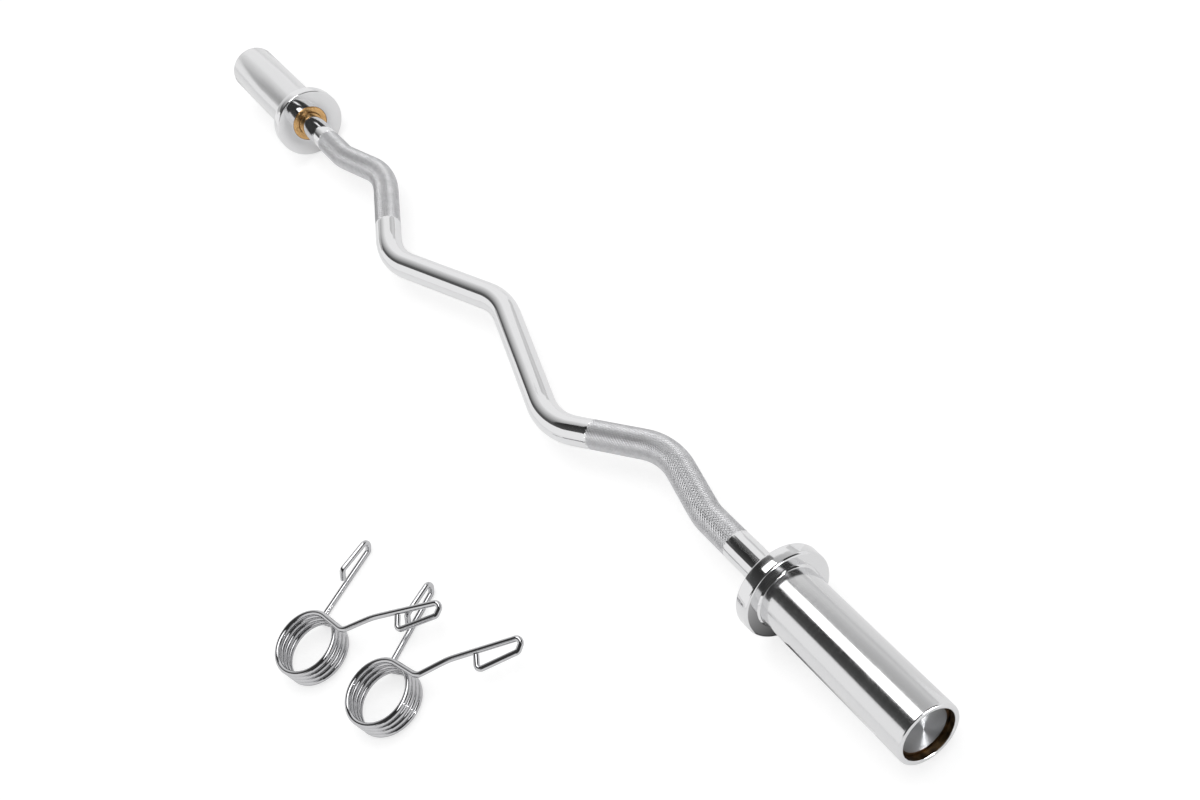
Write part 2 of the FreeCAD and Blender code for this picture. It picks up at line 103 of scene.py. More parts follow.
def pick(piece, wanted):
    """In edit mode, select the vertices whose place passes a test, and what lies between them."""
    shape = bmesh.from_edit_mesh(piece.data)
    bpy.ops.mesh.select_mode(type="VERT")
    for vertex in shape.verts:
        vertex.select_set(wanted(vertex.co))
    shape.select_flush_mode()
    bmesh.update_edit_mesh(piece.data)


def merge_doubles():
    """In edit mode, select all of a piece and merge the vertices that lie on each other."""
    bpy.ops.mesh.select_all(action="SELECT")
    bpy.ops.mesh.remove_doubles(threshold=0.002 * MM)


def close_up(piece, sharp=30):
    """Merge doubled vertices, turn the faces outwards and smooth all but the sharp edges."""
    merge_doubles()
    bpy.ops.mesh.normals_make_consistent(inside=False)
    bpy.ops.object.mode_set(mode="OBJECT")
    bpy.ops.object.shade_smooth_by_angle(angle=math.radians(sharp))


def apply_all(piece):
    """Apply a piece's modifiers in their order."""
    take_up(piece)
    for name in [modifier.name for modifier in piece.modifiers]:
        bpy.ops.object.modifier_apply(modifier=name)


shaft = start_ring("curl_shaft", SHAFT_RADIUS, (0, 0, 0), (0, math.pi / 2, 0), KNURL_AROUND)
drawn = 0
for end, step in ((KNURL_START, BENT_STEP), (KNURL_END, KNURL_STEP), (INNER_SNAP, STRAIGHT_STEP)):
    steps = round((end - drawn) / step)
    bpy.ops.mesh.extrude_repeat(steps=steps, offset=((end - drawn) / steps * MM, 0, 0))
    drawn = end

# two snap ring grooves and a chamfered tip, inside of the sleeve
inner_wall = INNER_SNAP + SNAP_WIDTH
outer_wall = OUTER_SNAP + SNAP_WIDTH
ring_radius = SHAFT_RADIUS
for along, radius in (
    (INNER_SNAP, SNAP_RADIUS), (inner_wall, SNAP_RADIUS), (inner_wall, SHAFT_RADIUS),
    (OUTER_SNAP, SHAFT_RADIUS), (OUTER_SNAP, SNAP_RADIUS), (outer_wall, SNAP_RADIUS),
    (outer_wall, SHAFT_RADIUS), (SHAFT_TIP - TIP_CHAMFER, SHAFT_RADIUS),
    (SHAFT_TIP, SHAFT_RADIUS - TIP_CHAMFER),
):
    bpy.ops.mesh.extrude_region_move(TRANSFORM_OT_translate={"value": ((along - drawn) * MM, 0, 0)})
    share = radius / ring_radius
    bpy.ops.transform.resize(value=(1, share, share), center_override=(along * MM, 0, 0))
    drawn = along
    ring_radius = radius
bpy.ops.mesh.edge_face_add()

# the rings of vertices are joined into diamonds, and each diamond's flat top is raised
knurl_steps = round((KNURL_END - KNURL_START) / KNURL_STEP)
knurl_pitch = (KNURL_END - KNURL_START) / knurl_steps


def knurl_parity(place):
    """0 for the middle of a diamond, 1 for a crossing of two grooves, None outside of the knurl."""
    row = (place.x / MM - KNURL_START) / knurl_pitch
    if not -0.1 < row < knurl_steps + 0.1:
        return None
    around = math.atan2(place.z, place.y) / (2 * math.pi) * KNURL_AROUND
    return (round(row) + round(around)) % 2


def off_ends(place):
    """Whether a place is in the knurl and clear of its two end rings."""
    return (KNURL_START + knurl_pitch / 2) * MM < place.x < (KNURL_END - knurl_pitch / 2) * MM


pick(shaft, lambda place: knurl_parity(place) == 1)
bpy.ops.mesh.vert_connect()
pick(shaft, lambda place: knurl_parity(place) == 0 and off_ends(place))
bpy.ops.mesh.dissolve_verts()
pick(shaft, off_ends)
sunk = 1 - GROOVE_SUNK / SHAFT_RADIUS
bpy.ops.transform.resize(value=(1, sunk, sunk), center_override=(0, 0, 0))
bpy.ops.mesh.select_mode(type="FACE")
shape = bmesh.from_edit_mesh(shaft.data)
for face in shape.faces:
    middle = face.calc_center_median()
    face.select_set(len(face.verts) == 4 and off_ends(middle) and knurl_parity(middle) == 0)
bmesh.update_edit_mesh(shaft.data)
bpy.ops.mesh.inset(thickness=GROOVE_HALF_WIDTH * MM, depth=GROOVE_DEPTH * MM, use_individual=True)
bpy.ops.mesh.select_mode(type="VERT")
close_up(shaft, sharp=12)
depth = shaft.data.attributes.new("groove", "FLOAT", "POINT")
for vertex, mark in zip(shaft.data.vertices, depth.data):
    low = math.hypot(vertex.co.y, vertex.co.z) < (SHAFT_RADIUS - GROOVE_DEPTH / 2) * MM
    mark.value = 1 if low and off_ends(vertex.co) else 0
for face in shaft.data.polygons:
    face.material_index = 1 if off_ends(face.center) else 0

# the centre line of the half bar: straights and round bends, as one smooth curve
STRAIGHT_PULL = 20


def arc_pull(swing):
    """How far a curve's handles reach, in millimetres, to make a round bend through this angle."""
    return BEND_RADIUS * 4 / 3 * math.tan(swing / 4)


corners = [Vector((along, aside, 0)) for along, aside in SHAFT_CORNERS]
befores = [Vector((-corners[1].x, corners[1].y, 0))] + corners
knots = []
for before, corner, after in zip(befores, corners, corners[1:]):
    ahead_in = (corner - before).normalized()
    ahead_out = (after - corner).normalized()
    swing = ahead_in.angle(ahead_out)
    reach = BEND_RADIUS * math.tan(swing / 2)
    pull = arc_pull(swing)
    knots.append((corner - ahead_in * reach, ahead_in, pull))
    knots.append((corner + ahead_out * reach, ahead_out, pull))
half_swing = Vector((1, 0, 0)).angle(knots[1][1])
half_pull = arc_pull(half_swing)
middle = corners[0] + Vector((0, BEND_RADIUS * (1 - 1 / math.cos(half_swing)), 0))
knots[0] = (middle, Vector((1, 0, 0)), half_pull)
knots[1] = (knots[1][0], knots[1][1], half_pull)
knots.append((corners[-1], knots[-1][1], 0))

put_down()
bpy.ops.curve.primitive_bezier_curve_add(location=(0, 0, 0))
centre_line = bpy.context.object
spline = centre_line.data.splines[0]
spline.bezier_points.add(len(knots) - len(spline.bezier_points))
rise = Vector((0, 0, AXIS_HEIGHT))
for number, (point, (place, ahead, pull)) in enumerate(zip(spline.bezier_points, knots)):
    point.handle_left_type = "FREE"
    point.handle_right_type = "FREE"
    before, after = (STRAIGHT_PULL, pull) if number % 2 == 0 else (pull, STRAIGHT_PULL)
    point.co = place * MM + rise
    point.handle_left = (place - ahead * before) * MM + rise
    point.handle_right = (place + ahead * after) * MM + rise
centre_line.data.resolution_u = 64

bending = shaft.modifiers.new("bending", "CURVE")
bending.object = centre_line
bending.deform_axis = "POS_X"
halves = shaft.modifiers.new("halves", "MIRROR")
halves.use_axis = (True, False, False)
halves.merge_threshold = 0.02 * MM
apply_all(shaft)
take_up(centre_line)
bpy.ops.object.delete()


def linear(code):
    """An sRGB hex colour as a linear colour."""
    shares = [int(code[at:at + 2], 16) / 255 for at in (1, 3, 5)]
    return [s / 12.92 if s <= 0.04045 else ((s + 0.055) / 1.055) ** 2.4 for s in shares] + [1]


def new_finish(name):
    """An empty material and its node tree."""
    material = bpy.data.materials.new(name)
    material.use_nodes = True
    material.node_tree.nodes.clear()
    return material, material.node_tree


def add_node(tree, kind, sockets, **settings):
    """Add a node with its settings; a socket takes a value, or a link from another node's output."""
    node = tree.nodes.new(kind)
    for setting, value in settings.items():
        setattr(node, setting, value)
    for socket, value in sockets.items():
        if isinstance(value, bpy.types.NodeSocket):
            tree.links.new(value, node.inputs[socket])
        else:
            node.inputs[socket].default_value = value
    return node


# Polished chrome plate: a neutral mirror with a faint skin; clouds in the polish change its sharpness.
chrome, tree = new_finish("polished_chrome_plate")
coords = add_node(tree, "ShaderNodeTexCoord", {})
clouds = add_node(tree, "ShaderNodeTexNoise", {
    "Vector": coords.outputs["Object"], "Scale": 1 / (14 * MM), "Detail": 4, "Roughness": 0.6})
polish = add_node(tree, "ShaderNodeMapRange", {
    "Value": clouds.outputs["Fac"], "From Min": 0.3, "From Max": 0.7, "To Min": 0.05, "To Max": 0.11})
skin = add_node(tree, "ShaderNodeTexNoise", {
    "Vector": coords.outputs["Object"], "Scale": 1 / (1.5 * MM), "Detail": 2})
peel = add_node(tree, "ShaderNodeBump", {
    "Height": skin.outputs["Fac"], "Strength": 0.05, "Distance": 0.05 * MM})
metal = add_node(tree, "ShaderNodeBsdfPrincipled", {
    "Base Color": linear("#E4E4E5"), "Metallic": 1, "Roughness": polish.outputs["Result"],
    "Normal": peel.outputs["Normal"]})
add_node(tree, "ShaderNodeOutputMaterial", {"Surface": metal.outputs["BSDF"]})

# Knurled chrome: the same plate over rolled diamonds. It can't be buffed down in the grooves, so they stay
# dull, and only the flat tops shine. The grooves are also painted darker, a painted shade in the recesses,
# more in some places.
knurled, tree = new_finish("knurled_chrome_plate")
deep = add_node(tree, "ShaderNodeAttribute", {}, attribute_name="groove")
coords = add_node(tree, "ShaderNodeTexCoord", {})
grain = add_node(tree, "ShaderNodeTexNoise", {
    "Vector": coords.outputs["Object"], "Scale": 1 / (6 * MM), "Detail": 4, "Roughness": 0.6})
groove_shade_spread = add_node(tree, "ShaderNodeMapRange", {
    "Value": grain.outputs["Fac"], "From Min": 0.3, "From Max": 0.7, "To Min": 0.75, "To Max": 1})
painted_groove_shade = add_node(tree, "ShaderNodeMath", {
    0: deep.outputs["Fac"], 1: groove_shade_spread.outputs["Result"]}, operation="MULTIPLY")
# painted shade: the grooves are coloured darker than the tops, by an amount that varies along the bar
shade = add_node(tree, "ShaderNodeMix", {
    "Factor": painted_groove_shade.outputs["Value"], "A": linear("#FCFCFD"), "B": linear("#C4C4C6")}, data_type="RGBA")
dull = add_node(tree, "ShaderNodeMapRange", {
    "Value": painted_groove_shade.outputs["Value"], "To Min": 0.2, "To Max": 0.4})
metal = add_node(tree, "ShaderNodeBsdfPrincipled", {
    "Base Color": shade.outputs["Result"], "Metallic": 1, "Roughness": dull.outputs["Result"]})
add_node(tree, "ShaderNodeOutputMaterial", {"Surface": metal.outputs["BSDF"]})

shaft.data.materials.append(chrome)
shaft.data.materials.append(knurled)
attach(shaft, "shaft")
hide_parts("shaft")


# The plate sleeve: a steel tube, turned all over, with a spigot that is pressed into the flange.
# Its edge and mouth are broken with small chamfers, and it is polished round and chrome plated.
# The right one is turned here and the left one is a copy, swung round to the other end.

# stations along the bar and radii, in millimetres; the two middles only add a ring to the mesh
FLANGE_FACE = 444
SLEEVE_END = 597
SLEEVE_MIDDLE = 520
SLEEVE_RADIUS = 25
BORE_MIDDLE = 560
BORE_RADIUS = 21
SPIGOT_END = 436.5
SPIGOT_RADIUS = 22.5
LIP_TOP = FLANGE_FACE + 1.6
LIP_SEAT = 24.4
PRESS = 0.02
BUSH_RADIUS = 16
LAND_END = 474
LAND_RADIUS = BUSH_RADIUS + PRESS
TURNED_AROUND = 128


def turn_piece(name, outline, closed=True):
    """A piece turned about the sleeve axis from an outline of (along, radius) in millimetres."""
    along, radius = outline[0]
    place = (along * MM, 0, AXIS_HEIGHT)
    piece = start_ring(name, radius, place, (0, math.pi / 2, 0), TURNED_AROUND)
    stops = outline[1:] + outline[:1] if closed else outline[1:]
    for next_along, next_radius in stops:
        step = ((next_along - along) * MM, 0, 0)
        bpy.ops.mesh.extrude_region_move(TRANSFORM_OT_translate={"value": step})
        share = next_radius / radius
        middle = (next_along * MM, 0, AXIS_HEIGHT)
        bpy.ops.transform.resize(value=(1, share, share), center_override=middle)
        along, radius = next_along, next_radius
    merge_doubles()
    return piece


def off_axis(place):
    """How far a place is from the sleeve axis."""
    return math.hypot(place.y, place.z - AXIS_HEIGHT)


def pick_rim(piece, along, radius):
    """In edit mode, select the rim at a station and a radius of a turned piece."""
    near = 0.01 * MM
    pick(piece, lambda place: abs(place.x - along * MM) < near and abs(off_axis(place) - radius * MM) < near)


def break_rim(piece, along, radius, width, steps):
    """Round one rim of a turned piece."""
    pick_rim(piece, along, radius)
    bpy.ops.mesh.bevel(offset=width * MM, segments=steps, profile=0.5, affect="EDGES")


def other_end(piece, name):
    """A copy of a piece with a mesh of its own, swung round to the bar's left end."""
    take_up(piece)
    bpy.ops.object.duplicate()
    copy = bpy.context.object
    copy.name = name
    copy.data.name = name
    copy.rotation_euler = (0, 0, math.pi)
    bpy.ops.object.transform_apply(location=True, rotation=True, scale=True)
    return copy


sleeve = turn_piece("right_plate_sleeve", [
    (SPIGOT_END, LAND_RADIUS), (SPIGOT_END, SPIGOT_RADIUS), (FLANGE_FACE, SPIGOT_RADIUS),
    (FLANGE_FACE, LIP_SEAT), (LIP_TOP, LIP_SEAT), (LIP_TOP, SLEEVE_RADIUS), (SLEEVE_MIDDLE, SLEEVE_RADIUS),
    (SLEEVE_END, SLEEVE_RADIUS), (SLEEVE_END, BORE_RADIUS), (BORE_MIDDLE, BORE_RADIUS),
    (LAND_END, BORE_RADIUS), (LAND_END, LAND_RADIUS)])
break_rim(sleeve, SLEEVE_END, SLEEVE_RADIUS, width=1.5, steps=4)
break_rim(sleeve, SLEEVE_END, BORE_RADIUS, width=0.8, steps=3)
close_up(sleeve)

# Round-polished chrome: buffing the sleeve as it turns leaves faint lines round it, here 0.6 mm apart so
# that they show, and sliding plates on and off leaves soft lengthwise rubs.
sleeve_chrome, tree = new_finish("round_polished_chrome_plate")
coords = add_node(tree, "ShaderNodeTexCoord", {})
rounds = add_node(tree, "ShaderNodeMapping", {
    "Vector": coords.outputs["Object"], "Scale": (1 / (0.6 * MM), 1 / (40 * MM), 1 / (40 * MM))})
lines = add_node(tree, "ShaderNodeTexNoise", {"Vector": rounds.outputs["Vector"], "Scale": 1, "Detail": 3})
slides = add_node(tree, "ShaderNodeMapping", {
    "Vector": coords.outputs["Object"], "Scale": (1 / (60 * MM), 1 / (1.2 * MM), 1 / (1.2 * MM))})
rubs = add_node(tree, "ShaderNodeTexNoise", {"Vector": slides.outputs["Vector"], "Scale": 1, "Detail": 4})
both = add_node(tree, "ShaderNodeMath", {0: lines.outputs["Fac"], 1: rubs.outputs["Fac"]}, operation="ADD")
polish = add_node(tree, "ShaderNodeMapRange", {
    "Value": both.outputs["Value"], "From Min": 0.75, "From Max": 1.3, "To Min": 0.11, "To Max": 0.21})
groove = add_node(tree, "ShaderNodeBump", {
    "Height": lines.outputs["Fac"], "Strength": 0.06, "Distance": 0.02 * MM})
metal = add_node(tree, "ShaderNodeBsdfPrincipled", {
    "Base Color": linear("#DEDEDF"), "Metallic": 1, "Roughness": polish.outputs["Result"],
    "Normal": groove.outputs["Normal"]})
add_node(tree, "ShaderNodeOutputMaterial", {"Surface": metal.outputs["BSDF"]})
sleeve.data.materials.append(sleeve_chrome)

# Bare oiled steel: the bore isn't plated, and the oil that was wiped through it has gone brown; its colour
# is also darkened nearly to black, a painted shade for the deep mouth of the sleeve and the gap round the
# cap.
oiled_steel_and_shade, tree = new_finish("bare_oiled_steel")
coords = add_node(tree, "ShaderNodeTexCoord", {})
film = add_node(tree, "ShaderNodeTexNoise", {
    "Vector": coords.outputs["Object"], "Scale": 1 / (9 * MM), "Detail": 2})
patches = add_node(tree, "ShaderNodeMapRange", {
    "Value": film.outputs["Fac"], "From Min": 0.35, "From Max": 0.75})
shade = add_node(tree, "ShaderNodeMix", {
    "Factor": patches.outputs["Result"], "A": linear("#2E261F"), "B": linear("#6E573A")}, data_type="RGBA")
wet = add_node(tree, "ShaderNodeMapRange", {"Value": film.outputs["Fac"], "To Min": 0.22, "To Max": 0.4})
metal = add_node(tree, "ShaderNodeBsdfPrincipled", {
    "Base Color": shade.outputs["Result"], "Metallic": 1, "Roughness": wet.outputs["Result"]})
add_node(tree, "ShaderNodeOutputMaterial", {"Surface": metal.outputs["BSDF"]})
sleeve.data.materials.append(oiled_steel_and_shade)
# the bore at the mouth takes the dark finish: partly bare oiled steel, partly painted shade of the recess
for face in sleeve.data.polygons:
    if off_axis(face.center) < (BORE_RADIUS + 0.1) * MM and face.center.x > LAND_END * MM:
        face.material_index = 1
for end, piece in (("right", sleeve), ("left", other_end(sleeve, "left_plate_sleeve"))):
    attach(piece, end + "_sleeve")
    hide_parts(end + "_sleeve_tube")


# The flange: a thick steel ring that stops the plates, pressed on to the sleeve's spigot.
# Both of its rims are well rounded, and a small lip round the sleeve covers the joint. Chrome plated.
FLANGE_BACK = 431
LIP_WIDTH = 2.4
LIP_BORE = LIP_SEAT + PRESS
LIP_CREST = LIP_BORE + LIP_WIDTH / 2
SPIGOT_BORE = SPIGOT_RADIUS + PRESS
SPIGOT_STOP = SPIGOT_END - 0.1
BUSH_FACE = FLANGE_BACK - 0.6
HEAD_STOP = BUSH_FACE + 3
HEAD_RADIUS = 19
HEAD_SEAT = HEAD_RADIUS + PRESS
flange = turn_piece("right_stop_flange", [
    (FLANGE_BACK, HEAD_SEAT), (FLANGE_BACK, FLANGE_RADIUS), (FLANGE_FACE, FLANGE_RADIUS),
    (FLANGE_FACE, LIP_BORE + LIP_WIDTH), (LIP_TOP, LIP_CREST), (LIP_TOP, LIP_BORE), (FLANGE_FACE, LIP_BORE),
    (FLANGE_FACE, SPIGOT_BORE), (SPIGOT_STOP, SPIGOT_BORE), (SPIGOT_STOP, LAND_RADIUS),
    (HEAD_STOP, LAND_RADIUS), (HEAD_STOP, HEAD_SEAT)])
break_rim(flange, FLANGE_FACE, FLANGE_RADIUS, width=2.5, steps=8)
break_rim(flange, FLANGE_BACK, FLANGE_RADIUS, width=1.4, steps=6)
break_rim(flange, LIP_TOP, LIP_CREST, width=0.5, steps=4)
break_rim(flange, FLANGE_BACK, HEAD_SEAT, width=0.3, steps=2)
close_up(flange)
flange.data.materials.append(chrome)
for end, piece in (("right", flange), ("left", other_end(flange, "left_stop_flange"))):
    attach(piece, end + "_sleeve")
    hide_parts(end + "_flange_ring")


# The inner bush: a bronze bearing with a head, pressed into the sleeve so that its head shows on the
# flange's back. It is turned from sintered bronze and left unplated, and the shaft runs in it.
BUSH_END = BUSH_FACE + 40
BUSH_BORE = SHAFT_RADIUS + 0.05
bush = turn_piece("right_headed_bush", [
    (BUSH_FACE, BUSH_BORE), (BUSH_FACE, HEAD_RADIUS), (HEAD_STOP, HEAD_RADIUS), (HEAD_STOP, BUSH_RADIUS),
    (BUSH_END, BUSH_RADIUS), (BUSH_END, BUSH_BORE)])
break_rim(bush, BUSH_FACE, HEAD_RADIUS, width=1.8, steps=6)
break_rim(bush, BUSH_FACE, BUSH_BORE, width=1.5, steps=6)
break_rim(bush, BUSH_END, BUSH_RADIUS, width=1, steps=3)
close_up(bush)

# Sintered bronze: warm and half matt, with pores that hold oil and look darker, here 0.6 mm apart so that
# they show.
bronze, tree = new_finish("sintered_bronze")
coords = add_node(tree, "ShaderNodeTexCoord", {})
pores = add_node(tree, "ShaderNodeTexNoise", {
    "Vector": coords.outputs["Object"], "Scale": 1 / (0.6 * MM), "Detail": 3, "Roughness": 0.6})
oil = add_node(tree, "ShaderNodeMapRange", {
    "Value": pores.outputs["Fac"], "From Min": 0.35, "From Max": 0.6})
tint = add_node(tree, "ShaderNodeMix", {
    "Factor": oil.outputs["Result"], "A": linear("#B07F46"), "B": linear("#F0C68C")}, data_type="RGBA")
dull = add_node(tree, "ShaderNodeMapRange", {
    "Value": pores.outputs["Fac"], "From Min": 0.3, "From Max": 0.7, "To Min": 0.32, "To Max": 0.2})
pits = add_node(tree, "ShaderNodeBump", {
    "Height": oil.outputs["Result"], "Strength": 0.15, "Distance": 0.05 * MM})
metal = add_node(tree, "ShaderNodeBsdfPrincipled", {
    "Base Color": tint.outputs["Result"], "Metallic": 1, "Roughness": dull.outputs["Result"],
    "Normal": pits.outputs["Normal"]})
add_node(tree, "ShaderNodeOutputMaterial", {"Surface": metal.outputs["BSDF"]})
bush.data.materials.append(bronze)
for end, piece in (("right", bush), ("left", other_end(bush, "left_headed_bush"))):
    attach(piece, end + "_sleeve")
    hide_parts(end + "_inner_bush")


# The end cap: a steel cup pressed into the sleeve's mouth, with a shallow dish turned in its face.
# Only the face inside of its rim is turned bright, with fine rings that make the light fan out; the rim
# outside it is painted dark, a painted shade for the gap between the cap and the bore.
CAP_FACE = 591.5
CAP_BACK = 579.5
CAP_INSIDE = CAP_FACE - 3
CAP_DISH = 0.5
CAP_RADIUS = BORE_RADIUS - PRESS
HOLLOW_RADIUS = CAP_RADIUS - 2.5
DISH_MIDDLE = 9
HUB_RADIUS = 0.5
cap = turn_piece("right_end_cap_cup", [
    (CAP_FACE - CAP_DISH, HUB_RADIUS), (CAP_FACE - CAP_DISH / 2, DISH_MIDDLE), (CAP_FACE, HOLLOW_RADIUS),
    (CAP_FACE, CAP_RADIUS), (CAP_BACK, CAP_RADIUS), (CAP_BACK, HOLLOW_RADIUS),
    (CAP_INSIDE, HOLLOW_RADIUS), (CAP_INSIDE, HUB_RADIUS)], closed=False)
for along in (CAP_FACE - CAP_DISH, CAP_INSIDE):
    pick_rim(cap, along, HUB_RADIUS)
    bpy.ops.mesh.merge(type="CENTER")
break_rim(cap, CAP_FACE, CAP_RADIUS, width=0.8, steps=3)
close_up(cap)

# Turned steel: the tool's rings run round the face, here 0.5 mm apart so that they show, and light spreads
# across them in two bright fans.
turned, tree = new_finish("turned_steel")
coords = add_node(tree, "ShaderNodeTexCoord", {})
centre = add_node(tree, "ShaderNodeVectorMath", {
    0: coords.outputs["Object"], 1: (0, 0, -AXIS_HEIGHT)}, operation="ADD")
flat = add_node(tree, "ShaderNodeVectorMath", {
    0: centre.outputs["Vector"], 1: (0, 1, 1)}, operation="MULTIPLY")
radius = add_node(tree, "ShaderNodeVectorMath", {0: flat.outputs["Vector"]}, operation="LENGTH")
rings = add_node(tree, "ShaderNodeTexNoise", {
    "W": radius.outputs["Value"], "Scale": 1 / (0.5 * MM), "Detail": 2}, noise_dimensions="1D")
cut = add_node(tree, "ShaderNodeMapRange", {
    "Value": rings.outputs["Fac"], "From Min": 0.3, "From Max": 0.7, "To Min": 0.42, "To Max": 0.55})
round_the_axis = add_node(tree, "ShaderNodeTangent", {}, direction_type="RADIAL", axis="X")
metal = add_node(tree, "ShaderNodeBsdfPrincipled", {
    "Base Color": linear("#8F9092"), "Metallic": 1, "Roughness": cut.outputs["Result"], "Anisotropic": 0.95,
    "Anisotropic Rotation": 0.25, "Tangent": round_the_axis.outputs["Tangent"]})
add_node(tree, "ShaderNodeOutputMaterial", {"Surface": metal.outputs["BSDF"]})
cap.data.materials.append(turned)
cap.data.materials.append(oiled_steel_and_shade)
# the cap's rim takes the dark finish: painted shade of the gap round the cap
for face in cap.data.polygons:
    if off_axis(face.center) > (HOLLOW_RADIUS + PRESS) * MM:
        face.material_index = 1
for end, piece in (("right", cap), ("left", other_end(cap, "left_end_cap_cup"))):
    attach(piece, end + "_sleeve")
    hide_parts(end + "_end_cap")


# The bearing pieces inside each sleeve: a plain bronze bush, two thrust washers and two snap rings.
# They are stock pieces of bronze and plain steel, shut in behind the cap, and keep their own solids.
plain, tree = new_finish("plain_ground_steel")
coords = add_node(tree, "ShaderNodeTexCoord", {})
grit = add_node(tree, "ShaderNodeTexNoise", {
    "Vector": coords.outputs["Object"], "Scale": 1 / (0.4 * MM), "Detail": 3})
shade = add_node(tree, "ShaderNodeMix", {
    "Factor": grit.outputs["Fac"], "A": linear("#7E8083"), "B": linear("#A4A6A9")}, data_type="RGBA")
dull = add_node(tree, "ShaderNodeMapRange", {"Value": grit.outputs["Fac"], "To Min": 0.3, "To Max": 0.45})
metal = add_node(tree, "ShaderNodeBsdfPrincipled", {
    "Base Color": shade.outputs["Result"], "Metallic": 1, "Roughness": dull.outputs["Result"]})
add_node(tree, "ShaderNodeOutputMaterial", {"Surface": metal.outputs["BSDF"]})
for end in ("left", "right"):
    for name, finish in (
        ("_outer_bush", bronze), ("_inner_washer", plain), ("_outer_washer", plain),
        ("_inner_snap_ring", plain), ("_outer_snap_ring", plain),
    ):
        node = bpy.data.objects[end + name]
        node.data.materials.clear()
        node.data.materials.append(finish)


# The spring collars: each is one 5 mm spring steel wire, wound four times to grip a 50 mm sleeve and bent
# at both ends into a handle with a flat loop. Squeezing the handles opens the coil. Bright plated.
# One collar is made lying at the origin, and two copies of it are turned and laid on the floor.
WIRE_RADIUS = 2.5
WIRE_AROUND = 32
COIL_RADIUS = 27.2
COIL_PITCH = 5.6
COIL_CLIMB = math.atan2(COIL_PITCH, 2 * math.pi * COIL_RADIUS)
COIL_STEPS = 400
LOWER_EXIT = math.radians(60)
UPPER_EXIT = math.radians(45)
COIL_TURN = 4 * 2 * math.pi + LOWER_EXIT - UPPER_EXIT
STUB = 5
BEND_STEPS = 4
BEND_STEP_ANGLE = math.radians(7)
LOWER_RUN = 18.4
COIL_FOOT = WIRE_RADIUS + LOWER_RUN * math.sin(COIL_CLIMB)


def coil_place(turned):
    """The coil's centre line, in millimetres, after winding this far clockwise from its lower end."""
    angle = LOWER_EXIT - turned
    height = COIL_FOOT + COIL_PITCH * turned / (2 * math.pi)
    return Vector((COIL_RADIUS * math.cos(angle), COIL_RADIUS * math.sin(angle), height))


def coil_way(turned):
    """The way that the wire runs there."""
    angle = LOWER_EXIT - turned
    return Vector((math.sin(angle), -math.cos(angle), math.tan(COIL_CLIMB))).normalized()


def facing(way):
    """The turn of a ring that looks along a direction."""
    return way.to_track_quat("Z", "Y").to_euler()


def bend_wire(name, points, radii):
    """A round wire through points in millimetres, each corner spun round to its own radius."""
    way = (points[1] - points[0]).normalized()
    wire = start_ring(name, WIRE_RADIUS, points[0] * MM, facing(way), WIRE_AROUND)
    here = points[0]
    for before, corner, after, radius in zip(points, points[1:], points[2:], radii):
        back = (before - corner).normalized()
        ahead = (after - corner).normalized()
        swing = math.pi - back.angle(ahead)
        reach = radius * math.tan(swing / 2)
        start = corner + back * reach
        bpy.ops.mesh.extrude_region_move(TRANSFORM_OT_translate={"value": (start - here) * MM})
        middle = corner + (back + ahead).normalized() * (radius / math.cos(swing / 2))
        axis = back.cross(ahead).normalized()
        steps = max(BEND_STEPS, round(swing / BEND_STEP_ANGLE))
        bpy.ops.mesh.spin(steps=steps, angle=swing, center=middle * MM, axis=axis)
        here = corner + ahead * reach
    bpy.ops.mesh.extrude_region_move(TRANSFORM_OT_translate={"value": (points[-1] - here) * MM})
    for end, along in ((points[0], way), (points[-1], (points[-1] - here).normalized())):
        pick_end(wire, end, along)
        bpy.ops.mesh.edge_face_add()
    close_up(wire)
    return wire


def pick_end(wire, place, way):
    """In edit mode, select the open ring of a wire at a place in millimetres, square to a direction."""
    pick(wire, lambda spot: abs((spot - place * MM).dot(way)) < 0.01 * MM
         and (spot - place * MM).length < (WIRE_RADIUS + 0.1) * MM)


coil = start_ring("collar_spring", WIRE_RADIUS, coil_place(0) * MM, facing(coil_way(0)), WIRE_AROUND)
bpy.ops.object.mode_set(mode="OBJECT")
winding = coil.modifiers.new("winding", "SCREW")
winding.axis = "Z"
winding.angle = -COIL_TURN
winding.screw_offset = COIL_PITCH * COIL_TURN / (2 * math.pi) * MM
winding.steps = COIL_STEPS
winding.render_steps = COIL_STEPS
apply_all(coil)
bpy.ops.object.mode_set(mode="EDIT")
for turned_by, side in ((0, -1), (COIL_TURN, 1)):
    pick_end(coil, coil_place(turned_by), coil_way(turned_by))
    stub = coil_way(turned_by) * (side * STUB * MM)
    bpy.ops.mesh.extrude_region_move(TRANSFORM_OT_translate={"value": stub})
    bpy.ops.mesh.edge_face_add()
close_up(coil)

# the upper handle leaves the coil at a tangent, reaches out from its axis and ends in a loop that hangs
UPPER_REACH = 134
UPPER_SWAY = 4
UPPER_LOOP_LENGTH = 42
UPPER_LOOP_SLANT = 8
UPPER_LEG_SLANT = 2.4
UPPER_LOOP_OUT = 12
UPPER_TIP_OUT = 8.5
UPPER_LOOP_DROP = 4.5
WIRE_END_GAP = 0.3
KNEE_BEND = 9
SWAY_BEND = 60
LOOP_BEND = 3.6
coil_end = coil_place(COIL_TURN) + coil_way(COIL_TURN) * STUB
knee = coil_place(COIL_TURN) + coil_way(COIL_TURN) * (COIL_RADIUS * math.tan(UPPER_EXIT))
sway = Vector((UPPER_REACH / 2, UPPER_SWAY, knee.z))
tip = Vector((UPPER_REACH, 0, knee.z))
rail_start = tip - Vector((UPPER_LOOP_SLANT, UPPER_TIP_OUT, UPPER_LOOP_DROP))
